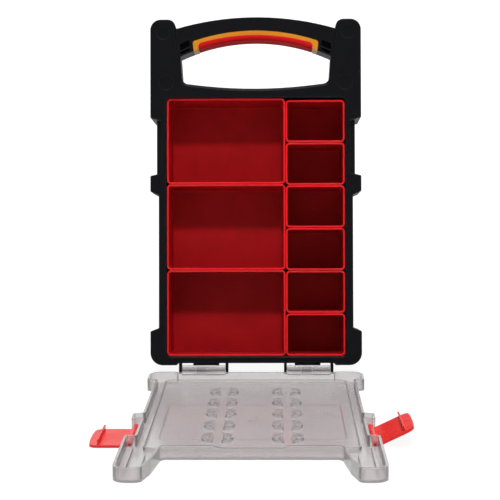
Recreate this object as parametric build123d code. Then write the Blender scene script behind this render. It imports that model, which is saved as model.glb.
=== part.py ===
"""Half-width parts organizer: a moulded tray with lift-out bins, a carry handle and a clear hinged lid.

Everything is drawn in the case frame, with the lid shut: X across, Y up the case from its bottom
edge, Z out of the front, and Z = 0 on the rim where tray and lid meet. The parts are then placed
standing open: the lid lies flat on the floor and the tray leans back against its rear feet.
"""

import math
import os

from build123d import *

# Driving sizes of the case, in millimetres and degrees.
CASE_HALF = 120.0  # half the width over the towers
CASE_TOP = 394.0  # top of the towers
TRAY_DEPTH = 72.0
LID_DEPTH = 13.5
LEAN = 8.4  # the standing tray leans back by this
WALL = 2.4
FLOOR = 2.0
RIM_GAP = 0.3  # between the shut lid's rim and the tray's

# Side outline of the case: full width at the bottom blocks, bumps and towers, waisted between.
BOTTOM_LIFT = 2.4  # the middle of the bottom edge sits above the corner blocks
BOTTOM_STEP = 88.0
CORNER_R = 14.0
BLOCK_TOP = 38.5
WAIST_HALF = 110.4
WAIST_BOTTOM = 42.0
WAIST_TOP = 193.4
BUMP_BOTTOM = 197.5
BUMP_TOP = 215.4
TOWER_BOTTOM = 281.4
EDGE_R = 1.5
FRONT_CHAMFER = 0.9  # on the tray's front edge
TOWER_R = 12.0
FACE_WALL = 3.0  # front face over the cored walls
RIB = 1.6
RIB_SHORT = 8.0  # the coring ribs stop this far from the tray's front and back
TOWER_RIBS = (332.0, 358.0)

# Compartment and its bins: a grid of three small cells across and six up.
CELL_W = 67.7
CELL_H = 48.95
GRID_COLUMNS = 3
GRID_ROWS = 6
COMPARTMENT_BOTTOM = 10.2
COMPARTMENT_R = 4.8
MOUTH_CHAMFER = 1.4
SMALL_PITCH = 48.6  # the small bins settle on each other, a little under the grid's pitch
BIN_GAP = 0.25  # from a bin's rim to its cell's edge
BIN_TOP = -3.0
BIN_BOTTOM = -69.7
BIN_WALL = 1.4
BIN_LIP = 0.6
BIN_LIP_HEIGHT = 2.4
BIN_DRAFT = 0.6
BIN_CORNER_R = 4.6
BIN_FLOOR_LIFT = 1.8
BIN_FLOOR_R = 1.6
FOOT_RING_INSET = 3.0
FOOT_RING_WALL = 1.2
PEG_R = 1.7
PEG_HEIGHT = 1.5
GATE_R = 1.5
GATE_HEIGHT = 0.4

# Carry handle: an arch between the towers with a soft grip under it.
HAND_BOTTOM = 314.8
HAND_SAG_R = 539.0
HAND_SAG_SLOPE = 0.13  # of the bottom edge where it meets the sides
HAND_SIDE = 83.6
HAND_SHOULDER = (85.6, 350.0, 20.0)  # x, y and corner radius where the side leans out
HAND_NECK_HALF = 92.4
HAND_CORNER_R = 8.0
HAND_CHAMFER = 2.6
HAND_SKIRT = -34.0  # the walls round the hand opening end here
NOTCH_STEP = 5.0  # and behind it the towers stand back by this
NOTCH_CORNER_R = 6.0
TOWER_TOP_IN_R = 9.0
ARCH_TOP = 396.4
ARCH_R = 325.0
GRIP_BOTTOM = 370.4
GRIP_BOTTOM_R = 204.0
TRIM_TOP = 380.9
TRIM_TOP_R = 221.0
TRIM_HALF = 72.0
GRIP_TOP = 376.1
GRIP_TOP_R = 229.0
GRIP_HALF = 66.0
HANDLE_FRONT = -2.0
HANDLE_BACK = -32.0
TRIM_PROUD = 0.6
GRIP_PROUD = 1.2
GRIP_TOP_EDGE_R = 1.0
GRIP_UNDER_R = 4.0
TRIM_CORNER_R = 3.0
GRIP_CORNER_R = 4.0
HANDLE_RIBS = (-60, -40, -20, 0, 20, 40, 60)
POCKET_DEPTH = 8.0
MARK_HIGH = (105.3, 379.0, 7.6)  # ejector mark: x, y, radius
MARK_LOW = (102.0, 322.0, 8.6)
MARK_DEPTH = 0.4

# Hinge: two knuckles on the lid, each between two ears of the tray, on a steel pin.
PIN_BELOW = 3.8  # the axis is this far under the bottom edge
PIN_BEHIND = 2.5  # and this far behind the rim
PIN_R = 1.5
RUNNING_GAP = 0.06
EAR_R = 5.9
EAR_WALL = 3.2
KNUCKLE_R = 3.8
HINGE_IN = 33.2  # middle of the inner ear
HINGE_OUT = 86.0  # middle of the outer ear
KNUCKLE_END_GAP = 0.5

# Latches: they swing on the lid's sides and hook under a rail on the tray.
LATCH_AXIS_X = 115.2
LATCH_AXIS_Z = 9.2
LATCH_MIDDLE_Y = 0.5 * (BUMP_TOP + TOWER_BOTTOM)
LATCH_LENGTH = 62.0
BARREL_R = 3.0
BARREL_END_GAP = 1.0
TRUNNION_R = 1.5
TRUNNION_REACH = 2.2
PLATE_INSIDE = 1.8
PLATE_OUTSIDE = 4.3
HOOK_AT = 30.6
HOOK_WALL = 1.6
HOOK_HEIGHT = 4.9
HOOK_LENGTH = 57.0
LATCH_REACH = 40.3
LATCH_TIP_R = 8.0
LEFT_LATCH_OPEN = 90.0
RIGHT_LATCH_OPEN = 64.2
POCKET_HALF = 110.3
RECESS_HALF = 107.6
RECESS_RAMP = 3.0
RAIL_HALF = 113.5
RAIL_TOP = -13.5
RAIL_BOTTOM = -19.4

# Lid inside: split round bosses over the grid's crossings, a low wall round the compartment.
LEG_TIP_IN = 95.0
LEG_MID = (88.4, 368.0)
LID_TOP = 321.0
LEG_FOOT_IN = 82.5
BOSS_R = 15.5
BOSS_HEIGHT = 2.8
BOSS_SLOT = 8.4
BOSS_WALL = 1.5
BOSS_RING_R = 9.5
LIP_HALF = 102.0
LIP_WALL = 1.5
LIP_HEIGHT = 4.5
LIP_R = 12.0
BOSS_STEP = 0.8  # the inner ring stands lower by this
LEG_RIB = 1.4
LEG_RIB_OUT = (111.0, 335.0, 80.0)  # x, middle y and length
LEG_RIB_IN = (97.5, 350.0, 60.0)
LID_GATE = (184.0, 4.0, 0.5)  # middle y, radius and height of the moulding's gate mark
THUMB_HALF = 36.0
THUMB_DIP = 2.6
RELIEF_W = 12.4  # window through each knuckle's web
RELIEF_OFFSET = 2.5

# Label: a bare sheet in a shallow pocket in the lid's outer face.
LABEL_W = 186.0
LABEL_H = 148.0
LABEL_MIDDLE_Y = 185.0
LABEL_R = 7.0
LABEL_WALL = 0.2
LABEL_POCKET = 0.25

PIN_Y = -PIN_BELOW
PIN_Z = -PIN_BEHIND
PIN_HEIGHT = LID_DEPTH + PIN_BEHIND
COMPARTMENT_W = CELL_W * GRID_COLUMNS
COMPARTMENT_H = CELL_H * GRID_ROWS
COMPARTMENT_LEFT = -0.5 * COMPARTMENT_W
COMPARTMENT_MIDDLE = COMPARTMENT_BOTTOM + 0.5 * COMPARTMENT_H
FACE_MIDDLE_Y = 0.5 * (BOTTOM_LIFT + LID_TOP)

# The origin is the middle of the lid's outer face, on the floor.
AXIS_PLACE = Pos(0, FACE_MIDDLE_Y - PIN_Y, PIN_HEIGHT)
TRAY_PLACE = AXIS_PLACE * Rot(90 - LEAN, 0, 0) * Pos(0, -PIN_Y, -PIN_Z)
LID_PLACE = AXIS_PLACE * Rot(180, 0, 0) * Pos(0, -PIN_Y, -PIN_Z)


def outline(corners):
    """Closed face through (x, y, corner radius) rows, listed once round."""
    points = [(x, y) for x, y, _ in corners]
    radii = [r for _, _, r in corners]
    return make_face(FilletPolyline(*points, radius=radii, close=True))


def both_sides(right, middle=()):
    """Right-hand outline rows, then any on the middle line, then the mirror images that close the loop."""
    left = [(-x, y, r) for x, y, r in reversed(right)]
    return outline([*right, *middle, *left])


def prism(face, low, high, taper=0.0):
    """The face carried straight from one height to another, drawn in by the taper on the way."""
    return extrude(Pos(0, 0, low) * face, high - low, taper=taper)


def disc(x, y, r):
    """A round face."""
    return Pos(x, y) * Circle(r)


def mouth(inner, outer, depth):
    """The chamfered mouth of a hollow: from its outline at a depth out to a wider one at the rim."""
    rim = Pos(0, 0, 0.01) * outer
    return loft([Pos(0, 0, -depth) * inner, rim])


def compartment_face(grow=0.0):
    """The compartment's rounded rectangle, grown by a margin."""
    face = RectangleRounded(COMPARTMENT_W + 2 * grow, COMPARTMENT_H + 2 * grow, COMPARTMENT_R + grow)
    return Pos(0, COMPARTMENT_MIDDLE) * face


def side_rows():
    """The right side from the bottom edge up to the latch recess."""
    return [
        (BOTTOM_STEP, BOTTOM_LIFT, 0),
        (BOTTOM_STEP + BOTTOM_LIFT, 0, 0),
        (CASE_HALF, 0, CORNER_R),
        (CASE_HALF, BLOCK_TOP, EDGE_R),
        (WAIST_HALF, WAIST_BOTTOM, EDGE_R),
        (WAIST_HALF, WAIST_TOP, EDGE_R),
        (CASE_HALF, BUMP_BOTTOM, EDGE_R),
        (CASE_HALF, BUMP_TOP, EDGE_R),
    ]


def sag_vertex():
    """Height at which the hand opening's two sloping tangents meet under its sagging bottom edge."""
    return HAND_BOTTOM + HAND_SAG_R - HAND_SAG_R * math.hypot(1, HAND_SAG_SLOPE)


def tower_rows():
    """The right tower's inner side, from its top down to the corner of the hand opening."""
    return [
        (HAND_NECK_HALF, CASE_TOP, TOWER_TOP_IN_R),
        HAND_SHOULDER,
        (HAND_SIDE, sag_vertex() + HAND_SAG_SLOPE * HAND_SIDE, HAND_CORNER_R),
    ]


def tray_face():
    """The tray's full-depth outline: waisted sides and two towers beside the sagging hand opening."""
    recess = [
        (RECESS_HALF, BUMP_TOP + RECESS_RAMP, EDGE_R),
        (RECESS_HALF, TOWER_BOTTOM - RECESS_RAMP, EDGE_R),
        (CASE_HALF, TOWER_BOTTOM, EDGE_R),
        (CASE_HALF, CASE_TOP, TOWER_R),
    ]
    return both_sides(side_rows() + recess + tower_rows(), [(0, sag_vertex(), HAND_SAG_R)])


def hand_face(grow):
    """The hand opening between the towers, open above and grown by a margin."""
    x, y, _ = HAND_SHOULDER
    rows = [
        (HAND_SIDE + grow, sag_vertex() + HAND_SAG_SLOPE * HAND_SIDE - grow, HAND_CORNER_R + grow),
        (x + grow, y, HAND_SHOULDER[2]),
        (HAND_NECK_HALF + grow, CASE_TOP, 0),
        (HAND_NECK_HALF + grow, CASE_TOP + TOWER_R, 0),
    ]
    left = [(-x, y, r) for x, y, r in reversed(rows)]
    return outline([(0, sag_vertex() - grow, HAND_SAG_R + grow), *rows, *left])


def rear_notch_face(grow=0.0):
    """The wider notch behind the hand opening, down to the compartment's top wall, its sides grown by a margin."""
    x, y, r = HAND_SHOULDER
    half = x + NOTCH_STEP + grow
    neck = HAND_NECK_HALF + NOTCH_STEP + grow
    bottom = COMPARTMENT_BOTTOM + COMPARTMENT_H + WALL
    flare = TOWER_TOP_IN_R
    return both_sides(
        [
            (half, bottom, NOTCH_CORNER_R),
            (half, y, r),
            (neck, CASE_TOP - flare + 1, flare),
            (neck + flare, CASE_TOP + 1, 0),
        ]
    )


def arch_face():
    """The handle's arch between the towers, down to the grip's under edge."""
    span = Pos(0, ARCH_TOP - 26) * Rectangle(2 * HAND_NECK_HALF + 1, 70)
    above = disc(0, ARCH_TOP - ARCH_R, ARCH_R) & span
    return above - disc(0, GRIP_BOTTOM - GRIP_BOTTOM_R, GRIP_BOTTOM_R)


def grip_lens(top, radius, half, corner_r):
    """The band between an upper arc and the grip's under edge, with slanted ends and rounded shoulders."""
    ends = both_sides([(half - 5, 345, 0), (half - 2.4, 350, 0), (half, 372, 0), (half, 390, 0)])
    band = (disc(0, top - radius, radius) & ends) - disc(0, GRIP_BOTTOM - GRIP_BOTTOM_R, GRIP_BOTTOM_R)
    return fillet(band.vertices().group_by(Axis.Y)[-1], corner_r)


def trim_outer_face():
    """The outline that the trim and the grip share."""
    return grip_lens(TRIM_TOP, TRIM_TOP_R, TRIM_HALF, TRIM_CORNER_R)


def grip_face():
    """The grip's own outline within the trim."""
    return grip_lens(GRIP_TOP, GRIP_TOP_R, GRIP_HALF, GRIP_CORNER_R)


def tray_cores():
    """The hollows cored out of the tray's walls and towers from behind, with ribs left across."""
    inside = offset(tray_face(), -WALL, kind=Kind.INTERSECTION)
    hollow = inside - compartment_face(WALL)
    cores = prism(hollow, -TRAY_DEPTH, -FACE_WALL)
    notch = rear_notch_face(WALL)
    cores -= prism(notch, -TRAY_DEPTH - 1, HAND_SKIRT)
    cores -= prism(notch - Pos(0, CASE_TOP) * Rectangle(2 * HAND_SIDE, CASE_TOP), HAND_SKIRT, HAND_SKIRT + WALL)
    rib_depth = TRAY_DEPTH - 2 * RIB_SHORT
    heights = [COMPARTMENT_BOTTOM + CELL_H * row for row in range(GRID_ROWS + 1)]
    for y in (*heights, *TOWER_RIBS):
        cores -= Pos(0, y, -0.5 * TRAY_DEPTH) * Box(2 * CASE_HALF, RIB, rib_depth)
    for column in range(GRID_COLUMNS + 1):
        x = COMPARTMENT_LEFT + CELL_W * column
        cores -= Pos(x, 0.5 * CASE_TOP, -0.5 * TRAY_DEPTH) * Box(RIB, CASE_TOP, rib_depth)
    return cores


def handle_arch():
    """The arch: an open-backed channel, with its face kept clear of the trim's seat."""
    face = arch_face()
    arch = prism(face, HANDLE_BACK, HANDLE_FRONT)
    seat = prism(trim_outer_face(), HANDLE_BACK - 1, HANDLE_FRONT + 1)
    channel = offset(face - trim_outer_face(), -WALL, kind=Kind.INTERSECTION)
    cores = prism(channel, HANDLE_BACK - 1, HANDLE_FRONT - FACE_WALL)
    for x in HANDLE_RIBS:
        cores -= Pos(x, ARCH_TOP - 20, HANDLE_BACK) * Box(RIB, 60, 40)
    return arch - seat - (cores - shoulder_pockets(RIB)) - shoulder_pockets()


def shoulder_pockets(grow=0.0):
    """Two slanted pockets in the arch's face beside each end of the grip, grown by a margin."""
    upper = outline([(75, 363.5, 1), (86, 358.5, 1), (86.5, 366, 1), (75.5, 371, 1)])
    lower = outline([(74.5, 358.2, 1), (85.5, 353.6, 1), (86, 356.8, 1), (75, 361.8, 1)])
    faces = upper + lower if grow == 0 else offset(upper, grow) + offset(lower, grow)
    pockets = prism(faces, HANDLE_FRONT - POCKET_DEPTH - grow, HANDLE_FRONT + (0 if grow else 1))
    return pockets + mirror(pockets, about=Plane.YZ)


def ear(x):
    """One hinge ear: a rounded tab under the bottom edge, bored for the pin."""
    tab = Pos(x, PIN_Y, PIN_Z) * Rot(0, 90, 0) * Cylinder(EAR_R, EAR_WALL)
    root = Pos(x, 0.5 * (PIN_Y + BOTTOM_LIFT) + 0.5, PIN_Z - 1.2 - 0.5 * EAR_R) * Box(
        EAR_WALL, BOTTOM_LIFT - PIN_Y + 1, EAR_R + 2.4
    )
    bore = Pos(x, PIN_Y, PIN_Z) * Rot(0, 90, 0) * Cylinder(PIN_R + 0.02, EAR_WALL + 2)
    front = Pos(x, 0, EAR_R) * Box(EAR_WALL + 2, 40, 2 * EAR_R)
    return tab + root - bore - front


def rear_foot(x):
    """A foot behind each hinge: flat below, with its heel cut to the floor the tray leans on."""
    length, toe, heel, bottom = 30.0, -57.0, -TRAY_DEPTH, -10.6
    slope = math.tan(math.radians(LEAN))
    heel_y = PIN_Y - PIN_HEIGHT / math.cos(math.radians(LEAN)) - (heel - PIN_Z) * slope
    flat_z = heel + (heel_y - bottom) / slope
    profile = [(heel, BOTTOM_LIFT + 1), (heel, heel_y), (flat_z, bottom), (toe - 1.5, bottom)]
    profile += [(toe, bottom + 1.5), (toe, BOTTOM_LIFT + 1)]
    side = make_face(Polyline(*[(-z, y) for z, y in profile], close=True))
    return Pos(x + 0.5 * length, 0, 0) * Rot(0, 90, 0) * extrude(side, -length)


def catch_rail():
    """The rail in the latch recess that the hook catches under, with a sloped lead-in."""
    profile = make_face(
        Polyline(
            (RECESS_HALF - 1, RAIL_TOP + 4),
            (RAIL_HALF, RAIL_TOP),
            (RAIL_HALF, RAIL_BOTTOM),
            (RECESS_HALF - 1, RAIL_BOTTOM),
            close=True,
        )
    )
    length = TOWER_BOTTOM - BUMP_TOP - RECESS_RAMP
    rail = Pos(0, LATCH_MIDDLE_Y + 0.5 * length, 0) * Rot(90, 0, 0) * extrude(profile, length)
    return rail + mirror(rail, about=Plane.YZ)


def locating_pegs():
    """Low pegs on the tray floor at the crossings of the cell grid."""
    pegs = Part()
    for column in range(1, GRID_COLUMNS):
        for row in range(1, GRID_ROWS):
            x = COMPARTMENT_LEFT + CELL_W * column
            y = COMPARTMENT_BOTTOM + CELL_H * row
            pegs += prism(disc(x, y, PEG_R), FLOOR - TRAY_DEPTH - 0.5, FLOOR - TRAY_DEPTH + PEG_HEIGHT)
    return pegs


def ejector_marks():
    """The shallow round marks in the towers' faces."""
    marks = prism(disc(*MARK_HIGH) + disc(*MARK_LOW), -MARK_DEPTH, 1)
    return marks + mirror(marks, about=Plane.YZ)


def base_tray():
    """The black moulded tray with its towers, handle arch, hinge ears and rear feet."""
    tray = prism(tray_face(), -TRAY_DEPTH, 0)
    tray = chamfer(tray.edges().group_by(Axis.Z)[-1], FRONT_CHAMFER)
    tray -= mouth(hand_face(0), hand_face(HAND_CHAMFER), HAND_CHAMFER)
    tray -= prism(rear_notch_face(), -TRAY_DEPTH - 1, HAND_SKIRT)
    tray -= prism(compartment_face(), FLOOR - TRAY_DEPTH, 1)
    tray -= mouth(compartment_face(), compartment_face(MOUTH_CHAMFER), MOUTH_CHAMFER)
    tray -= tray_cores()
    tray += locating_pegs()
    tray += catch_rail()
    tray += handle_arch()
    tray -= ejector_marks()
    for side in (-1, 1):
        tray += ear(side * HINGE_IN)
        tray += ear(side * HINGE_OUT)
        tray += rear_foot(side * 0.5 * (HINGE_IN + HINGE_OUT))
    return tray


def handle_trim():
    """The coloured trim that frames the grip under the arch."""
    ring = trim_outer_face() - grip_face()
    return prism(ring, HANDLE_BACK - TRIM_PROUD, HANDLE_FRONT + TRIM_PROUD)


def handle_grip():
    """The soft grip, a little proud of the trim, well rounded underneath."""
    pad = prism(grip_face(), HANDLE_BACK - GRIP_PROUD, HANDLE_FRONT + GRIP_PROUD)
    arcs = pad.edges().filter_by(Plane.XY).filter_by(GeomType.CIRCLE)
    pad = fillet(arcs.filter_by(lambda e: abs(e.radius - GRIP_BOTTOM_R) < 1), GRIP_UNDER_R)
    arcs = pad.edges().filter_by(Plane.XY).filter_by(GeomType.CIRCLE)
    return fillet(arcs.filter_by(lambda e: abs(e.radius - GRIP_TOP_R) < 1), GRIP_TOP_EDGE_R)


def drafted_block(width, height, corner_r, bottom):
    """A block under the bins' rim that narrows downwards, with rounded upright edges."""
    block = prism(Rectangle(width, height), BIN_TOP, bottom, BIN_DRAFT)
    upright = block.edges().filter_by(lambda edge: abs(edge.tangent_at(0.5).Z) > 0.9)
    return fillet(upright, corner_r)


def organizer_bin(width, height):
    """A lift-out bin: drafted walls, a lipped rim and a raised floor."""
    lip = RectangleRounded(width, height, BIN_CORNER_R)
    shell = width - 2 * BIN_LIP, height - 2 * BIN_LIP, BIN_CORNER_R - BIN_LIP
    well = [size - 2 * BIN_WALL for size in shell[:2]]
    well_r = shell[2] - BIN_WALL
    floor = BIN_BOTTOM + BIN_FLOOR_LIFT
    body = drafted_block(*shell, floor) + prism(lip, BIN_TOP - BIN_LIP_HEIGHT, BIN_TOP)
    hollow = drafted_block(*well, well_r, floor + BIN_WALL)
    hollow = fillet(hollow.faces().sort_by(Axis.Z)[0].edges(), BIN_FLOOR_R)
    draw_in = (BIN_TOP - BIN_BOTTOM) * math.tan(math.radians(BIN_DRAFT)) + BIN_LIP + FOOT_RING_INSET
    ring = Rectangle(width - 2 * draw_in, height - 2 * draw_in)
    ring -= offset(ring, -FOOT_RING_WALL, kind=Kind.INTERSECTION)
    gate = prism(Circle(GATE_R), floor + BIN_WALL - 0.2, floor + BIN_WALL + GATE_HEIGHT)
    return body - hollow + prism(ring, BIN_BOTTOM, floor + 0.2) + gate


def bin_places():
    """Each bin's node name, its width, its height and the middle of its place."""
    places = []
    for index in range(3):
        row = GRID_ROWS - 2 * index - 1
        middle = (COMPARTMENT_LEFT + CELL_W, COMPARTMENT_BOTTOM + CELL_H * row)
        places.append((f"large_bin_{index + 1}", 2 * (CELL_W - BIN_GAP), 2 * (CELL_H - BIN_GAP), middle))
    for index in range(GRID_ROWS):
        row = GRID_ROWS - index - 0.5
        middle = (COMPARTMENT_LEFT + 2.5 * CELL_W, COMPARTMENT_BOTTOM + SMALL_PITCH * row)
        places.append((f"small_bin_{index + 1}", CELL_W - 2 * BIN_GAP, SMALL_PITCH - 2 * BIN_GAP, middle))
    return places


def lid_face():
    """The lid's outline: the tray's sides, square latch pockets and a leg over each tower."""
    legs = [
        (POCKET_HALF, BUMP_TOP, 0.8),
        (POCKET_HALF, TOWER_BOTTOM, 0.8),
        (CASE_HALF, TOWER_BOTTOM, EDGE_R),
        (CASE_HALF, CASE_TOP, 13),
        (LEG_TIP_IN, CASE_TOP, 7),
        (LEG_MID[0], LEG_MID[1], 12),
        (LEG_FOOT_IN, LID_TOP, 6),
    ]
    return both_sides(side_rows() + legs)


def split_boss(x, y):
    """A round hold-down boss split by a slot: two D-shaped rings, each round a smaller one."""
    low = LID_DEPTH - FLOOR - BOSS_HEIGHT
    high = LID_DEPTH - FLOOR + 0.2
    slot = Rectangle(BOSS_SLOT, 3 * BOSS_R)
    slot_walled = Rectangle(BOSS_SLOT + 2 * BOSS_WALL, 3 * BOSS_R)
    outer = Circle(BOSS_R) - slot
    ring = outer - (Circle(BOSS_R - BOSS_WALL) - slot_walled)
    inner = Circle(BOSS_RING_R) - Circle(BOSS_RING_R - BOSS_WALL) - slot
    return Pos(x, y, 0) * (prism(ring, low, high) + prism(inner, low + BOSS_STEP, high))


def knuckle(side):
    """A lid knuckle with its web, bored for the pin and relieved in the middle."""
    middle = 0.5 * side * (HINGE_IN + HINGE_OUT)
    length = HINGE_OUT - HINGE_IN - EAR_WALL - 2 * KNUCKLE_END_GAP
    place = Pos(middle, PIN_Y, PIN_Z) * Rot(0, 90, 0)
    barrel = place * Cylinder(KNUCKLE_R, length)
    web = Pos(middle, 0.5 * (PIN_Y + BOTTOM_LIFT) + 0.5, 2.0) * Box(length, BOTTOM_LIFT - PIN_Y + 1.0, 3.4)
    web += Pos(middle, PIN_Y, 1.0) * Box(length, 2.4, 5.0)
    bore = place * Cylinder(PIN_R + RUNNING_GAP, length + 2)
    relief = Pos(middle - RELIEF_OFFSET, PIN_Y + 3.4, PIN_Z + 2.2) * Box(RELIEF_W, 2.4, 12)
    return barrel + web - bore - relief


def lid_shell():
    """The lid's face and walls, with the thumb dip in the wall at the hand opening."""
    face = lid_face()
    shell = prism(face, RIM_GAP, LID_DEPTH)
    shell -= prism(offset(face, -WALL, kind=Kind.INTERSECTION), 0, LID_DEPTH - FLOOR)
    dip = both_sides([(THUMB_HALF, -1, 0), (THUMB_HALF - 6, THUMB_DIP, 4)])
    return shell - Pos(0, LID_TOP + 1, 0) * Rot(90, 0, 0) * extrude(dip, WALL + 3)


def lid_inside():
    """The low wall that follows the compartment's edge, and the ribs in the legs and blocks."""
    high = LID_DEPTH - FLOOR + 0.2
    low = LID_DEPTH - FLOOR - LIP_HEIGHT
    outer = Pos(0, COMPARTMENT_MIDDLE) * RectangleRounded(2 * LIP_HALF, COMPARTMENT_H, LIP_R)
    inner = Pos(0, COMPARTMENT_MIDDLE) * RectangleRounded(
        2 * (LIP_HALF - LIP_WALL), COMPARTMENT_H - 2 * LIP_WALL, LIP_R - LIP_WALL
    )
    inside = prism(outer - inner, low, high)
    for side in (-1, 1):
        for x, y, length in (LEG_RIB_OUT, LEG_RIB_IN):
            inside += prism(Pos(side * x, y) * Rectangle(LEG_RIB, length), low, high)
    return inside


def lid():
    """The clear lid with its legs, bosses, knuckles and latch pockets."""
    part = lid_shell() + lid_inside()
    for column in range(1, GRID_COLUMNS):
        for row in range(1, GRID_ROWS):
            part += split_boss(COMPARTMENT_LEFT + CELL_W * column, COMPARTMENT_BOTTOM + CELL_H * row)
    for side in (-1, 1):
        part += knuckle(side)
        bore = Cylinder(TRUNNION_R + RUNNING_GAP, LATCH_LENGTH + 14)
        part -= Pos(side * LATCH_AXIS_X, LATCH_MIDDLE_Y, LATCH_AXIS_Z) * Rot(90, 0, 0) * bore
    gate_y, gate_r, gate_high = LID_GATE
    part += prism(disc(0, gate_y, gate_r), LID_DEPTH - FLOOR - gate_high, LID_DEPTH - FLOOR + 0.2)
    pocket = Pos(0, LABEL_MIDDLE_Y) * RectangleRounded(LABEL_W + 0.6, LABEL_H + 0.6, LABEL_R + 0.3)
    return part - prism(pocket, LID_DEPTH - LABEL_POCKET, LID_DEPTH + 1)


def lid_label():
    """The bare sheet in the lid's outer face."""
    sheet = Pos(0, LABEL_MIDDLE_Y) * RectangleRounded(LABEL_W, LABEL_H, LABEL_R)
    return prism(sheet, LID_DEPTH - LABEL_POCKET, LID_DEPTH - LABEL_POCKET + LABEL_WALL)


def hinge_pin(side):
    """A steel pin through both ears and the knuckle between them."""
    middle = 0.5 * side * (HINGE_IN + HINGE_OUT)
    pin = Cylinder(PIN_R, HINGE_OUT - HINGE_IN + EAR_WALL)
    return Pos(middle, PIN_Y, PIN_Z) * Rot(0, 90, 0) * pin


def latch():
    """The right latch, shut: a barrel on trunnions, a plate, a hook rib and a rounded pull."""
    barrel = Rot(90, 0, 0) * Cylinder(BARREL_R, LATCH_LENGTH + 2 * BARREL_END_GAP)
    trunnion_length = TOWER_BOTTOM - BUMP_TOP + 2 * TRUNNION_REACH
    trunnions = Rot(90, 0, 0) * Cylinder(TRUNNION_R, trunnion_length)
    half = 0.5 * LATCH_LENGTH
    plan = outline(
        [
            (-half, 0, 0),
            (half, 0, 0),
            (half, -LATCH_REACH + 1.5, LATCH_TIP_R),
            (0.35 * half, -LATCH_REACH, 30),
            (-0.35 * half, -LATCH_REACH, 30),
            (-half, -LATCH_REACH + 1.5, LATCH_TIP_R),
        ]
    )
    plate = Plane(origin=(PLATE_INSIDE, 0, 0), x_dir=(0, 1, 0), z_dir=(1, 0, 0)) * plan
    body = extrude(plate, PLATE_OUTSIDE - PLATE_INSIDE)
    hook = Pos(PLATE_INSIDE - 0.5 * HOOK_HEIGHT + 0.2, 0, -HOOK_AT) * Box(
        HOOK_HEIGHT + 0.4, HOOK_LENGTH, HOOK_WALL
    )
    hook = fillet(hook.faces().sort_by(Axis.X)[0].edges().filter_by(Axis.Y), 0.5)
    return body + barrel + trunnions + hook


def latch_at(side, open_angle):
    """A latch in its pocket, swung out from the shut case by the open angle."""
    shape = Rot(0, -open_angle, 0) * latch()
    if side < 0:
        shape = mirror(shape, about=Plane.YZ)
    return Pos(side * LATCH_AXIS_X, LATCH_MIDDLE_Y, LATCH_AXIS_Z) * shape


def all_parts():
    """Every node's name and its solid where it stands."""
    parts = {
        "base_tray": TRAY_PLACE * base_tray(),
        "handle_trim": TRAY_PLACE * handle_trim(),
        "handle_grip": TRAY_PLACE * handle_grip(),
        "hinge_pin_left": TRAY_PLACE * hinge_pin(-1),
        "hinge_pin_right": TRAY_PLACE * hinge_pin(1),
        "lid": LID_PLACE * lid(),
        "lid_label": LID_PLACE * lid_label(),
        "latch_left": LID_PLACE * latch_at(-1, LEFT_LATCH_OPEN),
        "latch_right": LID_PLACE * latch_at(1, RIGHT_LATCH_OPEN),
    }
    for name, width, height, (x, y) in bin_places():
        parts[name] = TRAY_PLACE * Pos(x, y, 0) * organizer_bin(width, height)
    return parts


os.makedirs("parts", exist_ok=True)
for node, solid in all_parts().items():
    export_step(solid, f"parts/{node}.step")
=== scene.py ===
"""Looks of the parts organizer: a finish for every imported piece, the studio and the camera.

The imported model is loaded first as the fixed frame, and all of the object's shapes are in it: this
script adds none. Everything is in metres in that frame: +X to the right, +Y from the lid back to the
tray, +Z up, with the open lid's outer face at zero.
"""

from __future__ import annotations

import logging
import math
from dataclasses import dataclass
from enum import Enum

import bpy
import numpy as np
from mathutils import Matrix, Vector


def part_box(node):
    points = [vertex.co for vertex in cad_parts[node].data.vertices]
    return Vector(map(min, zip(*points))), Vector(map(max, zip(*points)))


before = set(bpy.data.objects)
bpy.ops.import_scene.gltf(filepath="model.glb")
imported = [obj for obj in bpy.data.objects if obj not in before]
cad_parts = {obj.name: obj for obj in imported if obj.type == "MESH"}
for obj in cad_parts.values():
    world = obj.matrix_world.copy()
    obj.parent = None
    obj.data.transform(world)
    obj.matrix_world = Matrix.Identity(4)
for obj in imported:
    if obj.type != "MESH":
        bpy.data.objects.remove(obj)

LOG = logging.getLogger("organizer")
MM = 0.001
LEAN = math.radians(8.4)
BIN_RIM = -161.89 * MM  # height of the bins' rims along the leaning front's normal
TRANSPARENT_BOUNCES = 24  # enough for lamps to reach through every wall of the lid
INDIRECT_CLAMP = 0.8  # limits single bright samples of bounced light
Colour = tuple[float, float, float]
Point = tuple[float, float, float]
Step = tuple[float, float]
WHITE: Colour = (1.0, 1.0, 1.0)


class Glow(Enum):
    """How strongly the studio shows as white: near the object, away or through glass, and mirrored."""

    NEAR = 0.8
    AWAY = 1.0
    MIRRORED = 0.75


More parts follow.
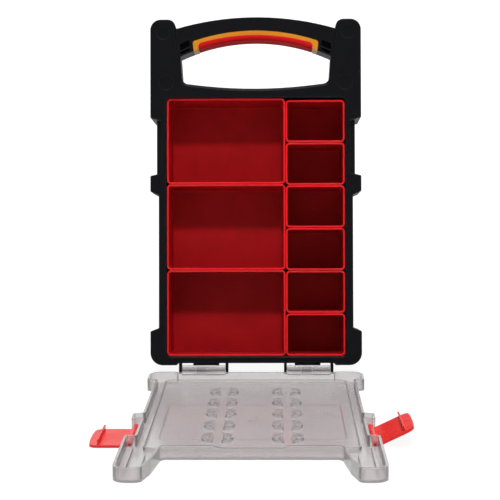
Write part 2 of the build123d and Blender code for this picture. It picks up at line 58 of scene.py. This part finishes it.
class Sheet:
    """A node tree with short calls for adding nodes and joining sockets."""

    def __init__(self, tree: bpy.types.NodeTree) -> None:
        """Keeps the tree.

        Args:
            tree: the material's or group's node tree.
        """
        self.tree = tree

    def add(self, kind: str, inputs: dict | None = None, **settings: object) -> bpy.types.Node:
        """Adds a node.

        Args:
            kind: the node's type, without the ShaderNode prefix.
            inputs: values or sockets by input name or number.
            settings: attributes of the node.

        Returns:
            The new node.
        """
        node = self.tree.nodes.new(kind if kind.startswith("Node") else "ShaderNode" + kind)
        for name, value in settings.items():
            setattr(node, name, value)
        for name, value in (inputs or {}).items():
            if isinstance(value, bpy.types.NodeSocket):
                self.tree.links.new(value, node.inputs[name])
            else:
                node.inputs[name].default_value = value
        return node

    def math(self, operation: str, a: object, b: object = 0.0, clamp: bool = False) -> bpy.types.NodeSocket:
        """A Math node's output.

        Args:
            operation: the node's operation.
            a: the first value or socket.
            b: the second value or socket.
            clamp: whether the result is held between 0 and 1.

        Returns:
            The output socket.
        """
        return self.add("Math", {0: a, 1: b}, operation=operation, use_clamp=clamp).outputs[0]

    def vector(self, operation: str, a: object, b: object = (0.0, 0.0, 0.0)) -> bpy.types.Node:
        """A Vector Math node.

        Args:
            operation: the node's operation.
            a: the first vector or socket.
            b: the second vector or socket.

        Returns:
            The node, whose first output is a vector and second a value.
        """
        return self.add("VectorMath", {0: a, 1: b}, operation=operation)

    def seen_through_glass(self, path: bpy.types.NodeOutputs) -> bpy.types.NodeSocket:
        """One where a ray comes through glass or is thrown back inside it.

        Args:
            path: the outputs of a Light Path node.

        Returns:
            The share, 0 or 1.
        """
        inside = self.math("MINIMUM", path["Transmission Depth"], 1.0)
        thrown_back = self.math("MULTIPLY", path["Is Glossy Ray"], inside)
        return self.math("MAXIMUM", path["Is Transmission Ray"], thrown_back)

    def ramp(
        self, value: object, low: float, high: float, to_low: float = 0.0, to_high: float = 1.0
    ) -> bpy.types.NodeSocket:
        """A smooth step of a value from one range to another.

        Args:
            value: the socket to map.
            low: where the step starts.
            high: where it ends.
            to_low: the result at the start.
            to_high: the result at the end.

        Returns:
            The output socket.
        """
        inputs = {"Value": value, "From Min": low, "From Max": high, "To Min": to_low, "To Max": to_high}
        return self.add("MapRange", inputs, interpolation_type="SMOOTHSTEP").outputs["Result"]

    def blend(self, share: object, a: object, b: object) -> bpy.types.NodeSocket:
        """A mix of two colours.

        Args:
            share: how much of the second colour shows.
            a: the first colour or socket.
            b: the second colour or socket.

        Returns:
            The mixed colour's socket.
        """
        node = self.add("Mix", {0: share}, data_type="RGBA")
        for slot, value in ((6, a), (7, b)):
            if isinstance(value, bpy.types.NodeSocket):
                self.tree.links.new(value, node.inputs[slot])
            else:
                node.inputs[slot].default_value = (*value, 1.0)
        return node.outputs[2]

    def object_place(self) -> bpy.types.NodeSocket:
        """The point on the piece, in its own coordinates."""
        return self.add("TexCoord").outputs["Object"]


class Effects:
    """The shader node groups that several finishes share, each built once."""

    NOISE_SHARE = 0.6
    CELL_SHARE = 0.4
    EDGE_GAIN = 4.0
    BEVEL_SAMPLES = 4
    PATCH_STEP: Step = (0.35, 0.7)
    SCRATCH_STEP: Step = (0.66, 0.74)
    SCRATCH_TURN: Point = (0.3, 0.5, 0.7)
    SCRATCH_STRETCH: Point = (900.0, 35.0, 900.0)
    UPWARD_STEP: Step = (0.55, 0.95)
    SPECK_STEP: Step = (0.45, 0.75)
    RIM_STEP: Step = (0.4, 1.0)
    _built: dict[str, bpy.types.NodeTree] = {}

    @staticmethod
    def group(
        name: str, inputs: dict[str, float], outputs: dict[str, str]
    ) -> tuple[bpy.types.NodeTree, Sheet]:
        """Starts a group with float inputs and the named outputs.

        Args:
            name: the group's name.
            inputs: default values by input name.
            outputs: socket types by output name.

        Returns:
            The group and a sheet over it.
        """
        tree = bpy.data.node_groups.new(name, "ShaderNodeTree")
        for label, value in inputs.items():
            entry = tree.interface.new_socket(label, in_out="INPUT", socket_type="NodeSocketFloat")
            entry.default_value = value
        for label, kind in outputs.items():
            tree.interface.new_socket(label, in_out="OUTPUT", socket_type=kind)
        return tree, Sheet(tree)

    @staticmethod
    def moulded_grain() -> bpy.types.NodeTree:
        """Fine spark-eroded texture: two octaves of noise over a cell pattern, as a height."""
        tree, s = Effects.group("moulded_grain", {"Scale": 900.0}, {"Height": "NodeSocketFloat"})
        entry = s.add("NodeGroupInput")
        place = s.object_place()
        fine = s.add("TexNoise", {"Vector": place, "Scale": entry.outputs["Scale"], "Detail": 2.0})
        cells = s.add("TexVoronoi", {"Vector": place, "Scale": entry.outputs["Scale"]}, feature="SMOOTH_F1")
        noise_part = s.math("MULTIPLY", fine.outputs[0], Effects.NOISE_SHARE)
        cell_part = s.math("MULTIPLY", cells.outputs["Distance"], Effects.CELL_SHARE)
        s.add("NodeGroupOutput", {"Height": s.math("ADD", noise_part, cell_part)})
        return tree

    @staticmethod
    def soft_edges() -> bpy.types.NodeTree:
        """Rounded moulded edges: the bevelled normal, and a mask of where it differs from the face."""
        outputs = {"Normal": "NodeSocketVector", "Edge": "NodeSocketFloat"}
        tree, s = Effects.group("soft_edges", {"Radius": 0.6 * MM}, outputs)
        entry = s.add("NodeGroupInput")
        bevel = s.add("Bevel", {"Radius": entry.outputs["Radius"]}, samples=Effects.BEVEL_SAMPLES)
        facing = s.vector("DOT_PRODUCT", bevel.outputs[0], s.add("NewGeometry").outputs["Normal"])
        turned = s.math("SUBTRACT", 1.0, facing.outputs["Value"])
        edge = s.math("MULTIPLY", turned, Effects.EDGE_GAIN, clamp=True)
        s.add("NodeGroupOutput", {"Normal": bevel.outputs[0], "Edge": edge})
        return tree

    @staticmethod
    def handling() -> bpy.types.NodeTree:
        """Marks of use: slow cloudy patches, and fine scratches from noise drawn out one way."""
        outputs = {"Patches": "NodeSocketFloat", "Scratches": "NodeSocketFloat"}
        tree, s = Effects.group("handling", {"Scale": 30.0}, outputs)
        entry = s.add("NodeGroupInput")
        place = s.object_place()
        slow_inputs = {"Vector": place, "Scale": entry.outputs["Scale"], "Detail": 4.0, "Roughness": 0.6}
        slow = s.add("TexNoise", slow_inputs)
        stretch = {"Rotation": Effects.SCRATCH_TURN, "Scale": Effects.SCRATCH_STRETCH}
        turned = s.add("Mapping", {"Vector": place, **stretch})
        drawn = s.add("TexNoise", {"Vector": turned.outputs[0], "Scale": 1.0, "Detail": 2.0})
        patches = s.ramp(slow.outputs[0], *Effects.PATCH_STEP)
        scratches = s.math("MULTIPLY", s.ramp(drawn.outputs[0], *Effects.SCRATCH_STEP), patches)
        s.add("NodeGroupOutput", {"Patches": patches, "Scratches": scratches})
        return tree

    @staticmethod
    def dust() -> bpy.types.NodeTree:
        """Dust on what faces up in the open case: the normal's upward part, broken up by noise."""
        tree, s = Effects.group("dust", {"Scale": 220.0}, {"Mask": "NodeSocketFloat"})
        entry = s.add("NodeGroupInput")
        place = s.add("TexCoord").outputs
        upward = s.add("SeparateXYZ", {0: place["Normal"]}).outputs["Z"]
        speck_inputs = {"Vector": place["Object"], "Scale": entry.outputs["Scale"], "Detail": 3.0}
        specks = s.ramp(s.add("TexNoise", speck_inputs).outputs[0], *Effects.SPECK_STEP)
        settled = s.math("MULTIPLY", s.ramp(upward, *Effects.UPWARD_STEP), specks)
        s.add("NodeGroupOutput", {"Mask": settled})
        return tree

    @staticmethod
    def painted_rim_highlight() -> bpy.types.NodeTree:
        """A painted highlight on the rims of thin walls: a mask for a brighter colour there.

        The height of a point p over the floor of the case is n . p, where n is the leaning front's
        normal, (0, -cos a, sin a); the mask steps from 0 to 1 over the band under the rim's height.
        """
        inputs = {"Rim": 0.0, "Band": 3.0 * MM}
        tree, s = Effects.group("painted_rim_highlight", inputs, {"Mask": "NodeSocketFloat"})
        entry = s.add("NodeGroupInput").outputs
        normal = (0.0, -math.cos(LEAN), math.sin(LEAN))
        height = s.vector("DOT_PRODUCT", s.object_place(), normal).outputs["Value"]
        below = s.math("DIVIDE", s.math("SUBTRACT", entry["Rim"], height), entry["Band"])
        mask = s.math("SUBTRACT", 1.0, s.ramp(below, *Effects.RIM_STEP))
        s.add("NodeGroupOutput", {"Mask": mask})
        return tree

    @staticmethod
    def rounded_frame() -> bpy.types.NodeTree:
        """A thin line round a rectangle with round corners.

        The distance to the rectangle is the length of the part of |p| that is past its half size less
        the corner radius, less that radius; the mask is 1 where that distance is within half the line.
        """
        inputs = {"Half Width": 0.08, "Half Height": 0.06, "Middle Y": 0.0, "Corner": 0.01, "Line": 0.001}
        outputs = {"Mask": "NodeSocketFloat", "Inside": "NodeSocketFloat"}
        tree, s = Effects.group("rounded_frame", inputs, outputs)
        entry = s.add("NodeGroupInput").outputs
        place = s.add("SeparateXYZ", {0: s.object_place()})
        across = s.math("ABSOLUTE", place.outputs["X"])
        along = s.math("ABSOLUTE", s.math("SUBTRACT", place.outputs["Y"], entry["Middle Y"]))
        straight_x = s.math("SUBTRACT", entry["Half Width"], entry["Corner"])
        past_x = s.math("MAXIMUM", s.math("SUBTRACT", across, straight_x))
        straight_y = s.math("SUBTRACT", entry["Half Height"], entry["Corner"])
        past_y = s.math("MAXIMUM", s.math("SUBTRACT", along, straight_y))
        corner = s.add("CombineXYZ", {"X": past_x, "Y": past_y})
        distance = s.math("SUBTRACT", s.vector("LENGTH", corner.outputs[0]).outputs["Value"], entry["Corner"])
        off_line = s.math("ABSOLUTE", distance)
        mask = s.math("LESS_THAN", off_line, s.math("MULTIPLY", entry["Line"], 0.5))
        s.add("NodeGroupOutput", {"Mask": mask, "Inside": s.math("LESS_THAN", distance, 0.0)})
        return tree

    @classmethod
    def place(cls, s: Sheet, name: str, inputs: dict) -> bpy.types.Node:
        """Puts a shared group into a material.

        Args:
            s: the material's sheet.
            name: the group's name, which is also its maker's name here.
            inputs: its values in this material.

        Returns:
            The group node.
        """
        if name not in cls._built:
            cls._built[name] = getattr(cls, name)()
        node = s.add("Group", node_tree=cls._built[name])
        for label, value in inputs.items():
            node.inputs[label].default_value = value
        return node


def new_material(name: str) -> tuple[bpy.types.Material, Sheet, bpy.types.Node, bpy.types.Node]:
    """An empty material with a Principled shader on its output.

    Args:
        name: the material's name.

    Returns:
        The material, its sheet, the shader and the output node.
    """
    material = bpy.data.materials.new(name)
    material.use_nodes = True
    material.node_tree.nodes.clear()
    s = Sheet(material.node_tree)
    shader = s.add("BsdfPrincipled")
    output = s.add("OutputMaterial", {"Surface": shader.outputs[0]})
    return material, s, shader, output


@dataclass(frozen=True)
class Moulded:
    """An opaque moulded plastic or rubber.

    The two colours are those of its lighter and darker patches; the edge colour and its share paint a
    highlight onto its edges, dust is how far settled dust lightens it, and rim is the height under which a
    brighter colour is painted on its rims as a highlight, if it is.
    """

    name: str
    colour: Colour
    shade: Colour
    roughness: float
    roughness_spread: float = 0.08
    patch_scale: float = 30.0
    grain_scale: float = 900.0
    grain_height: float = 0.15
    grain_depth: float = 0.1 * MM
    edge_radius: float = 0.6 * MM
    # colour of the painted highlight on the edges, and how far it lightens them
    edge_highlight_colour: Colour = (0.5, 0.5, 0.5)
    edge_highlight_share: float = 0.15
    dust: float = 0.05
    dust_scale: float = 220.0
    dust_colour: Colour = (0.55, 0.53, 0.5)
    specular: float = 0.5
    rim: float | None = None
    rim_band: float = 3.0 * MM
    # colour of the painted highlight on the rims
    rim_highlight_colour: Colour = (0.95, 0.02, 0.025)

    def build(self) -> bpy.types.Material:
        """The finish as a material."""
        material, s, shader, _ = new_material(self.name)
        grain = Effects.place(s, "moulded_grain", {"Scale": self.grain_scale})
        edges = Effects.place(s, "soft_edges", {"Radius": self.edge_radius})
        marks = Effects.place(s, "handling", {"Scale": self.patch_scale})
        dust = Effects.place(s, "dust", {"Scale": self.dust_scale})
        colour = s.blend(marks.outputs["Patches"], self.colour, self.shade)
        # painted highlight: the edges are lightened toward the edge colour, standing in for light catching
        # the rounded edges
        painted_edge = s.math("MULTIPLY", edges.outputs["Edge"], self.edge_highlight_share)
        colour = s.blend(painted_edge, colour, self.edge_highlight_colour)
        dusty = s.math("MULTIPLY", dust.outputs["Mask"], self.dust)
        colour = s.blend(dusty, colour, self.dust_colour)
        # painted highlight: a brighter colour on the rims, standing in for light on them
        if self.rim is not None:
            rims = Effects.place(s, "painted_rim_highlight", {"Rim": self.rim, "Band": self.rim_band})
            colour = s.blend(rims.outputs["Mask"], colour, self.rim_highlight_colour)
        rough = s.math("MULTIPLY", marks.outputs["Patches"], self.roughness_spread)
        rough = s.math("ADD", rough, s.math("MULTIPLY", marks.outputs["Scratches"], self.roughness_spread))
        rough = s.math("ADD", rough, self.roughness, clamp=True)
        bump_inputs = {"Height": grain.outputs["Height"], "Normal": edges.outputs["Normal"]}
        bump = s.add("Bump", {**bump_inputs, "Strength": self.grain_height, "Distance": self.grain_depth})
        for name, value in (("Base Color", colour), ("Roughness", rough), ("Normal", bump.outputs[0])):
            s.tree.links.new(value, shader.inputs[name])
        shader.inputs["Specular IOR Level"].default_value = self.specular
        return material


@dataclass(frozen=True)
class ClearMoulded:
    """The lid's clear plastic with a light haze and painted white highlights on its edges; lamps shine
    through it.
    """

    name: str
    colour: Colour
    shade: Colour
    roughness: float
    transmission: float
    ior: float = 1.49
    lamp_share: Colour = (0.9, 0.88, 0.88)
    edge_radius: float = 0.5 * MM
    # how far the painted white highlight lightens the edges
    edge_highlight_share: float = 0.8
    edge_haze: float = 0.35
    patch_scale: float = 22.0
    patch_haze: float = 0.05

    def build(self) -> bpy.types.Material:
        """The finish as a material."""
        material, s, shader, output = new_material(self.name)
        edges = Effects.place(s, "soft_edges", {"Radius": self.edge_radius})
        marks = Effects.place(s, "handling", {"Scale": self.patch_scale})
        colour = s.blend(marks.outputs["Patches"], self.colour, self.shade)
        # painted highlight: the edges are whitened, standing in for light gathered at the clear plastic's
        # edges
        colour = s.blend(s.math("MULTIPLY", edges.outputs["Edge"], self.edge_highlight_share), colour, WHITE)
        rough = s.math("ADD", s.math("MULTIPLY", marks.outputs["Patches"], self.patch_haze), self.roughness)
        rough = s.math("ADD", s.math("MULTIPLY", edges.outputs["Edge"], self.edge_haze), rough)
        normal = edges.outputs["Normal"]
        for name, value in (("Base Color", colour), ("Roughness", rough), ("Normal", normal)):
            s.tree.links.new(value, shader.inputs[name])
        shader.inputs["Transmission Weight"].default_value = self.transmission
        shader.inputs["IOR"].default_value = self.ior
        lamps = s.add("BsdfTransparent", {"Color": (*self.lamp_share, 1.0)})
        shadow = s.add("LightPath").outputs["Is Shadow Ray"]
        mix = s.add("MixShader", {0: shadow, 1: shader.outputs[0], 2: lamps.outputs[0]})
        s.tree.links.new(mix.outputs[0], output.inputs["Surface"])
        return material


@dataclass(frozen=True)
class PrintedSheet:
    """The label: a bare, nearly clear film with a tinted panel and a thin rounded border."""

    name: str
    paper: Colour
    tint: Colour
    line: Colour
    half_width: float
    half_height: float
    middle_y: float
    corner: float = 7.0 * MM
    line_width: float = 1.1 * MM
    patch_scale: float = 14.0
    panel_tint: float = 0.45
    panel_spread: float = 0.35
    roughness: float = 0.4
    roughness_spread: float = 0.1
    film_alpha: float = 0.06
    line_alpha: float = 0.85

    def build(self) -> bpy.types.Material:
        """The finish as a material."""
        material, s, shader, _ = new_material(self.name)
        size = {"Half Width": self.half_width, "Half Height": self.half_height, "Middle Y": self.middle_y}
        border = Effects.place(s, "rounded_frame", {**size, "Corner": self.corner, "Line": self.line_width})
        patches = Effects.place(s, "handling", {"Scale": self.patch_scale}).outputs["Patches"]
        tinted = s.math("ADD", self.panel_tint, s.math("MULTIPLY", patches, self.panel_spread))
        panel = s.math("MULTIPLY", border.outputs["Inside"], tinted)
        colour = s.blend(panel, self.paper, self.tint)
        colour = s.blend(border.outputs["Mask"], colour, self.line)
        rough = s.math("ADD", s.math("MULTIPLY", patches, self.roughness_spread), self.roughness)
        solid = s.math("ADD", s.math("MULTIPLY", border.outputs["Mask"], self.line_alpha), self.film_alpha)
        for name, value in (("Base Color", colour), ("Roughness", rough), ("Alpha", solid)):
            s.tree.links.new(value, shader.inputs[name])
        return material


@dataclass(frozen=True)
class DrawnSteel:
    """The hinge pins' wire: fine lines along X."""

    name: str
    colour: Colour
    roughness: float
    roughness_spread: float = 0.15
    line_stretch: Point = (60.0, 4000.0, 4000.0)
    line_height: float = 0.1
    line_depth: float = 0.05 * MM

    def build(self) -> bpy.types.Material:
        """The finish as a material."""
        material, s, shader, _ = new_material(self.name)
        turned = s.add("Mapping", {"Vector": s.object_place(), "Scale": self.line_stretch})
        lines = s.add("TexNoise", {"Vector": turned.outputs[0], "Scale": 1.0, "Detail": 3.0}).outputs[0]
        rough = s.math("ADD", s.math("MULTIPLY", lines, self.roughness_spread), self.roughness)
        bump = s.add("Bump", {"Height": lines, "Strength": self.line_height, "Distance": self.line_depth})
        s.tree.links.new(rough, shader.inputs["Roughness"])
        s.tree.links.new(bump.outputs[0], shader.inputs["Normal"])
        shader.inputs["Base Color"].default_value = (*self.colour, 1.0)
        shader.inputs["Metallic"].default_value = 1.0
        return material


# each finish's edge colour and share paint a highlight on its edges; the bins' rim paints a highlight on
# their rims
TRAY_BLACK = Moulded(
    "tray_black", (0.0055, 0.0058, 0.0075), (0.0042, 0.0044, 0.0056), 0.48,
    grain_scale=1300.0, grain_height=0.3, edge_radius=0.9 * MM,
    edge_highlight_colour=(0.12, 0.12, 0.125), edge_highlight_share=0.2, dust=0.015, specular=0.16,
)
BIN_RED = Moulded(
    "bin_red", (0.54, 0.011, 0.015), (0.46, 0.009, 0.013), 0.36,
    grain_scale=700.0, grain_height=0.06, edge_radius=0.7 * MM, edge_highlight_colour=(0.8, 0.03, 0.03),
    edge_highlight_share=0.2, dust=0.01, specular=0.14, rim=BIN_RIM,
)
LATCH_RED = Moulded(
    "latch_red", (0.93, 0.045, 0.04), (0.88, 0.038, 0.034), 0.26,
    grain_scale=600.0, grain_height=0.04, edge_highlight_colour=(0.95, 0.12, 0.1),
    edge_highlight_share=0.25, dust=0.01, specular=0.16,
)
TRIM_AMBER = Moulded(
    "trim_amber", (0.80, 0.30, 0.022), (0.74, 0.26, 0.02), 0.36,
    grain_height=0.06, edge_highlight_colour=(0.9, 0.5, 0.12), edge_highlight_share=0.25, dust=0.01, specular=0.15,
)
GRIP_RED = Moulded(
    "grip_red", (0.74, 0.012, 0.016), (0.68, 0.011, 0.014), 0.7,
    grain_scale=1600.0, grain_height=0.25, edge_radius=1.2 * MM, edge_highlight_colour=(0.8, 0.05, 0.05),
    edge_highlight_share=0.2, dust=0.01, specular=0.08,
)
LID_CLEAR = ClearMoulded("lid_clear", (0.99, 0.955, 0.963), (0.97, 0.935, 0.943), 0.2, 0.76)
PIN_STEEL = DrawnSteel("pin_steel", (0.62, 0.62, 0.64), 0.25)


@dataclass
class Tray:
    """The black tray with its carry handle and hinge pins."""

    nodes: tuple[str, ...] = ("base_tray", "hinge_pin_left", "hinge_pin_right", "handle_trim", "handle_grip")

    def dress(self) -> None:
        """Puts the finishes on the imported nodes."""
        steel = PIN_STEEL.build()
        finishes = (TRAY_BLACK.build(), steel, steel, TRIM_AMBER.build(), GRIP_RED.build())
        for node, finish in zip(self.nodes, finishes):
            assign(node, finish)


@dataclass
class Bins:
    """The nine lift-out bins."""

    large: int = 3
    small: int = 6

    def dress(self) -> None:
        """Puts the red finish on every bin."""
        red = BIN_RED.build()
        for kind, count in (("large_bin", self.large), ("small_bin", self.small)):
            for index in range(count):
                assign(f"{kind}_{index + 1}", red)


@dataclass
class ClearLid:
    """The clear lid with its label and latches."""

    label_inset: float = 3.0 * MM
    paper: Colour = (0.95, 0.93, 0.94)
    tint: Colour = (0.95, 0.885, 0.905)
    line: Colour = (0.9, 0.3, 0.33)

    def dress(self) -> None:
        """Puts the finishes on the lid, the label and the latches."""
        assign("lid", LID_CLEAR.build())
        low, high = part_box("lid_label")
        half_width = 0.5 * (high.x - low.x) - self.label_inset
        half_height = 0.5 * (high.y - low.y) - self.label_inset
        middle = 0.5 * (high.y + low.y)
        label = PrintedSheet(
            "label_sheet", self.paper, self.tint, self.line, half_width, half_height, middle
        )
        assign("lid_label", label.build())
        red = LATCH_RED.build()
        assign("latch_left", red)
        assign("latch_right", red)


def assign(node: str, material: bpy.types.Material) -> None:
    """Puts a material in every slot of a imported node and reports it.

    Args:
        node: the node's name.
        material: its finish.
    """
    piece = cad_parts[node]
    for slot in piece.material_slots:
        slot.material = material
    LOG.info("%s: %s", node, material.name)


def surface(name: str, points: np.ndarray) -> bpy.types.Object:
    """A mesh object from a grid of points.

    Args:
        name: the object's name.
        points: rows by columns by 3, in metres.

    Returns:
        The object, linked to the scene, with smooth faces.
    """
    rows, columns = points.shape[:2]
    index = np.arange(rows * columns).reshape(rows, columns)
    corners_of_each = [index[:-1, :-1], index[:-1, 1:], index[1:, 1:], index[1:, :-1]]
    quads = np.stack(corners_of_each, axis=-1).reshape(-1, 4)
    mesh = bpy.data.meshes.new(name)
    mesh.from_pydata(points.reshape(-1, 3).tolist(), [], quads.tolist())
    mesh.polygons.foreach_set("use_smooth", np.ones(len(mesh.polygons), bool))
    piece = bpy.data.objects.new(name, mesh)
    bpy.context.scene.collection.objects.link(piece)
    return piece


@dataclass(frozen=True)
class Lamp:
    """A square area lamp, which never shows through glass."""

    name: str
    place: Point
    target: Point
    size: float
    watts: float
    mirrored: bool = True

    def build(self) -> None:
        """Adds the lamp to the scene, pointed at its target."""
        light = bpy.data.lights.new(self.name, "AREA")
        light.shape = "SQUARE"
        light.size = self.size
        light.energy = self.watts
        lamp = bpy.data.objects.new(self.name, light)
        aim = (Vector(self.target) - Vector(self.place)).to_track_quat("-Z", "Y").to_matrix().to_4x4()
        lamp.matrix_world = Matrix.Translation(self.place) @ aim
        lamp.visible_transmission = False
        lamp.visible_glossy = self.mirrored
        bpy.context.scene.collection.objects.link(lamp)


LAMPS = (
    Lamp("overhead", (0.05, -0.15, 2.4), (0.0, 0.1, 0.1), 1.3, 34.0),
    Lamp("front_key", (0.1, -2.35, 2.75), (0.0, 0.2, 0.2), 0.3, 46.0, mirrored=False),
    Lamp("left_fill", (-2.2, -1.4, 1.3), (0.0, 0.1, 0.15), 1.4, 3.0),
    Lamp("right_fill", (2.2, -1.4, 1.3), (0.0, 0.1, 0.15), 1.4, 3.0),
)


@dataclass
class Studio:
    """A pale sweep of floor and backdrop, soft lamps and an even world."""

    half_width: float = 4.0
    front: float = -3.0
    back: float = 2.6
    bend: float = 0.8
    height: float = 3.0
    air_gap: float = 0.15 * MM
    bend_points: int = 17
    floor_colour: Colour = (0.7, 0.7, 0.7)
    floor_roughness: float = 0.9
    near: float = 0.35
    away: float = 1.1
    shown_glow: float = 1.15
    world_fill: float = 0.14

    def sweep(self) -> None:
        """Builds the floor and backdrop as one sheet.

        The profile runs level to the bend, turns up through a quarter circle of the bend's radius and
        goes on upright; each point of it is carried straight across the width. It lies a hair below
        the clear lid, so that the lid's lower face keeps its own reflection.
        """
        turn = np.linspace(0.0, 0.5 * math.pi, self.bend_points)
        y = np.concatenate([[self.front], self.back + self.bend * np.sin(turn), [self.back + self.bend]])
        z = np.concatenate([[0.0], self.bend * (1.0 - np.cos(turn)), [self.height]]) - self.air_gap
        x = np.linspace(-self.half_width, self.half_width, 3)
        grid = np.empty((len(y), len(x), 3))
        grid[..., 0] = x[None, :]
        grid[..., 1] = y[:, None]
        grid[..., 2] = z[:, None]
        piece = surface("studio_sweep", grid)
        material, s, shader, output = new_material("studio_white")
        shader.inputs["Base Color"].default_value = (*self.floor_colour, 1.0)
        shader.inputs["Roughness"].default_value = self.floor_roughness
        glow = s.add("Emission", {"Color": (*WHITE, 1.0), "Strength": self.shown_glow})
        path = s.add("LightPath").outputs
        distance = s.vector("LENGTH", s.object_place()).outputs["Value"]
        seen = s.ramp(distance, self.near, self.away, Glow.NEAR.value, Glow.AWAY.value)
        seen = s.math("MULTIPLY", path["Is Camera Ray"], seen)
        through = s.math("MULTIPLY", s.seen_through_glass(path), Glow.AWAY.value)
        mirrored = s.math("MULTIPLY", path["Is Glossy Ray"], Glow.MIRRORED.value)
        share = s.math("MAXIMUM", s.math("MAXIMUM", seen, through), mirrored)
        mix = s.add("MixShader", {0: share, 1: shader.outputs[0], 2: glow.outputs[0]})
        s.tree.links.new(mix.outputs[0], output.inputs["Surface"])
        piece.data.materials.append(material)

    def world(self) -> None:
        """An even fill for the object, and white where it is seen."""
        world = bpy.data.worlds.new("studio_world")
        world.use_nodes = True
        world.node_tree.nodes.clear()
        s = Sheet(world.node_tree)
        path = s.add("LightPath").outputs
        seen = s.math("MAXIMUM", path["Is Camera Ray"], s.seen_through_glass(path))
        strength = s.ramp(seen, 0.0, 1.0, self.world_fill, 1.0)
        background = s.add("Background", {"Color": (*WHITE, 1.0), "Strength": strength})
        s.add("OutputWorld", {"Surface": background.outputs[0]})
        bpy.context.scene.world = world

    def build(self) -> None:
        """Builds the sweep, the world and the lamps."""
        self.sweep()
        self.world()
        for lamp in LAMPS:
            lamp.build()


@dataclass
class Viewpoint:
    """The camera, level with the photograph's view of the open case."""

    place: Point = (22.2 * MM, -1425.4 * MM, 353.6 * MM)
    yaw: float = 1.029
    pitch: float = 7.233
    roll: float = 0.276
    focal_pixels: float = 1427.6
    frame_pixels: float = 500.0
    sensor: float = 36.0

    def build(self) -> None:
        """Places the camera: yaw about up, then pitch down, then roll about the line of sight."""
        yaw = Matrix.Rotation(math.radians(self.yaw), 3, "Z")
        pitch = Matrix.Rotation(-math.radians(self.pitch), 3, "X")
        roll = Matrix.Rotation(math.radians(self.roll), 3, "Y")
        right, forward, up = (yaw @ pitch @ roll).transposed()
        turned = Matrix((right, up, -forward)).transposed().to_4x4()
        data = bpy.data.cameras.new("viewpoint")
        data.sensor_width = self.sensor
        data.lens = self.focal_pixels / self.frame_pixels * self.sensor
        camera = bpy.data.objects.new("viewpoint", data)
        camera.matrix_world = Matrix.Translation(self.place) @ turned
        bpy.context.scene.collection.objects.link(camera)
        bpy.context.scene.camera = camera


def main() -> None:
    """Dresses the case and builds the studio."""
    logging.basicConfig(level=logging.INFO, format="%(name)s: %(message)s")
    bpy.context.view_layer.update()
    scene = bpy.context.scene
    scene.view_settings.view_transform = "Standard"
    scene.cycles.transparent_max_bounces = TRANSPARENT_BOUNCES
    scene.cycles.sample_clamp_indirect = INDIRECT_CLAMP
    scene.cycles.caustics_reflective = False
    scene.cycles.caustics_refractive = False
    for assembly in (Tray(), Bins(), ClearLid()):
        assembly.dress()
    Studio().build()
    Viewpoint().build()


if __name__ == "__main__":
    main()
